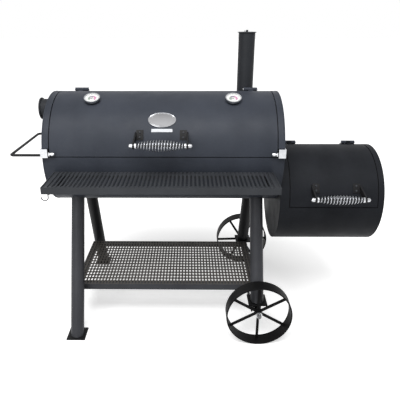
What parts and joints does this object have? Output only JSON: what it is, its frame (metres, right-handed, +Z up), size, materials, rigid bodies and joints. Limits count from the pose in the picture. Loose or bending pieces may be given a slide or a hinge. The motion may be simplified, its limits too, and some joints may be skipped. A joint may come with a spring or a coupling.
{
  "type": "offset smoker",
  "caption": "Barrel smoker on an A-frame stand with a low side firebox, hinged doors with spring handles, chimney, slatted front shelf, mesh lower shelf and spoked steel wheels",
  "frame": {"origin": "on the ground, under the middle of the smoker's overall length and depth", "axes": "+X along the barrels towards the firebox, +Z up, -Y is the working side with the lid seam and front shelf"},
  "size_m": [1.678, 0.847, 1.3485],
  "materials": {
    "barrel_paint": "satin blue-black heat paint with a fine grain",
    "frame_paint": "satin black paint on tube and angle",
    "firebox_paint": "matte black heat paint",
    "chrome": "bright plated, lightly scratched",
    "zinc": "zinc-plated fasteners",
    "spring_wire": "plated spring wire",
    "dial_face": "white printed dial",
    "dial_glass": "clear flat glass",
    "badge_metal": "brushed oval plate, bare",
    "label_metal": "pale bare plate",
    "grate_iron": "seasoned cooking grate",
    "mesh_steel": "painted expanded steel mesh"
  },
  "bodies": {
    "root": {"axle_brackets": "frame_paint", "axle_washers": "zinc", "chamber_end_left": "barrel_paint", "chamber_end_right": "barrel_paint", "chamber_seal_frame": "barrel_paint", "chamber_shell": "barrel_paint", "charcoal_grate": "grate_iron", "cooking_grates": "grate_iron", "damper_bolt_and_nut": "zinc", "firebox_end_left": "firebox_paint", "firebox_end_right": "firebox_paint", "firebox_seal_frame": "firebox_paint", "firebox_shell": "firebox_paint", "flue_stack": "barrel_paint", "front_shelf_frame": "frame_paint", "front_shelf_gussets": "frame_paint", "front_shelf_slats": "frame_paint", "grate_rails": "grate_iron", "heat_baffle": "grate_iron", "hinge_fixed_leaves": "barrel_paint", "hinge_pins": "zinc", "leg_front_left": "frame_paint", "leg_front_right": "frame_paint", "leg_plates": "frame_paint", "leg_rear_left": "frame_paint", "leg_rear_right": "frame_paint", "lid_catch_blocks": "chrome", "lower_shelf_frame": "frame_paint", "lower_shelf_mesh": "mesh_steel", "lower_shelf_stretchers": "frame_paint", "push_handle": "frame_paint", "push_handle_flanges": "frame_paint", "side_port_pipe": "barrel_paint", "split_pins": "zinc", "stack_cap_pivot": "zinc", "tool_hook": "zinc", "wheel_axle": "zinc"},
    "lid": {"lid_panel": "barrel_paint", "lid_hinge_moving_leaves": "barrel_paint", "lid_handle_brackets": "barrel_paint", "lid_handle_rod": "zinc", "lid_handle_nuts": "chrome", "lid_handle_spring": "spring_wire", "thermometer_cases": "chrome", "thermometer_dials": "dial_face", "thermometer_lenses": "dial_glass", "lid_badge_plate": "badge_metal", "lid_label_plate": "label_metal", "lid_catch_studs": "chrome"},
    "firebox_door": {"firebox_door_panel": "firebox_paint", "firebox_door_hinge_moving_leaves": "firebox_paint", "firebox_door_handle_brackets": "firebox_paint", "firebox_door_handle_rod": "zinc", "firebox_door_handle_nuts": "chrome", "firebox_door_handle_spring": "spring_wire"},
    "front_wheel": {"front_wheel": "frame_paint"},
    "rear_wheel": {"rear_wheel": "frame_paint"},
    "stack_cap": {"stack_cap": "barrel_paint"},
    "side_port_cap": {"side_port_cap": "barrel_paint"},
    "air_damper": {"air_damper": "firebox_paint"}
  },
  "joints": [
    {"name": "lid_hinge", "type": "hinge", "parent": "root", "child": "lid", "pos_m": [-0.1595, 0.08513, 1.08519], "axis": [-1, 0, 0], "range_deg": [0, 90]},
    {"name": "firebox_door_hinge", "type": "hinge", "parent": "root", "child": "firebox_door", "pos_m": [0.5945, 0.083, 0.8289], "axis": [-1, 0, 0], "range_deg": [0, 90]},
    {"name": "front_wheel_spin", "type": "hinge", "parent": "root", "child": "front_wheel", "pos_m": [0.2655, -0.339, 0.1472], "axis": [0, 1, 0], "continuous": true},
    {"name": "rear_wheel_spin", "type": "hinge", "parent": "root", "child": "rear_wheel", "pos_m": [0.2655, 0.382, 0.1472], "axis": [0, 1, 0], "continuous": true},
    {"name": "stack_cap_swivel", "type": "hinge", "parent": "root", "child": "stack_cap", "pos_m": [0.22, 0.2071, 1.3365], "axis": [0, 0, 1], "range_deg": [0, 120]},
    {"name": "side_port_cap_pull", "type": "slide", "parent": "root", "child": "side_port_cap", "axis": [-1, 0, 0], "range_m": [0, 0.04]},
    {"name": "air_damper_turn", "type": "hinge", "parent": "root", "child": "air_damper", "pos_m": [0.817, 0.0215, 0.5474], "axis": [1, 0, 0], "range_deg": [0, 45]}
  ]
}
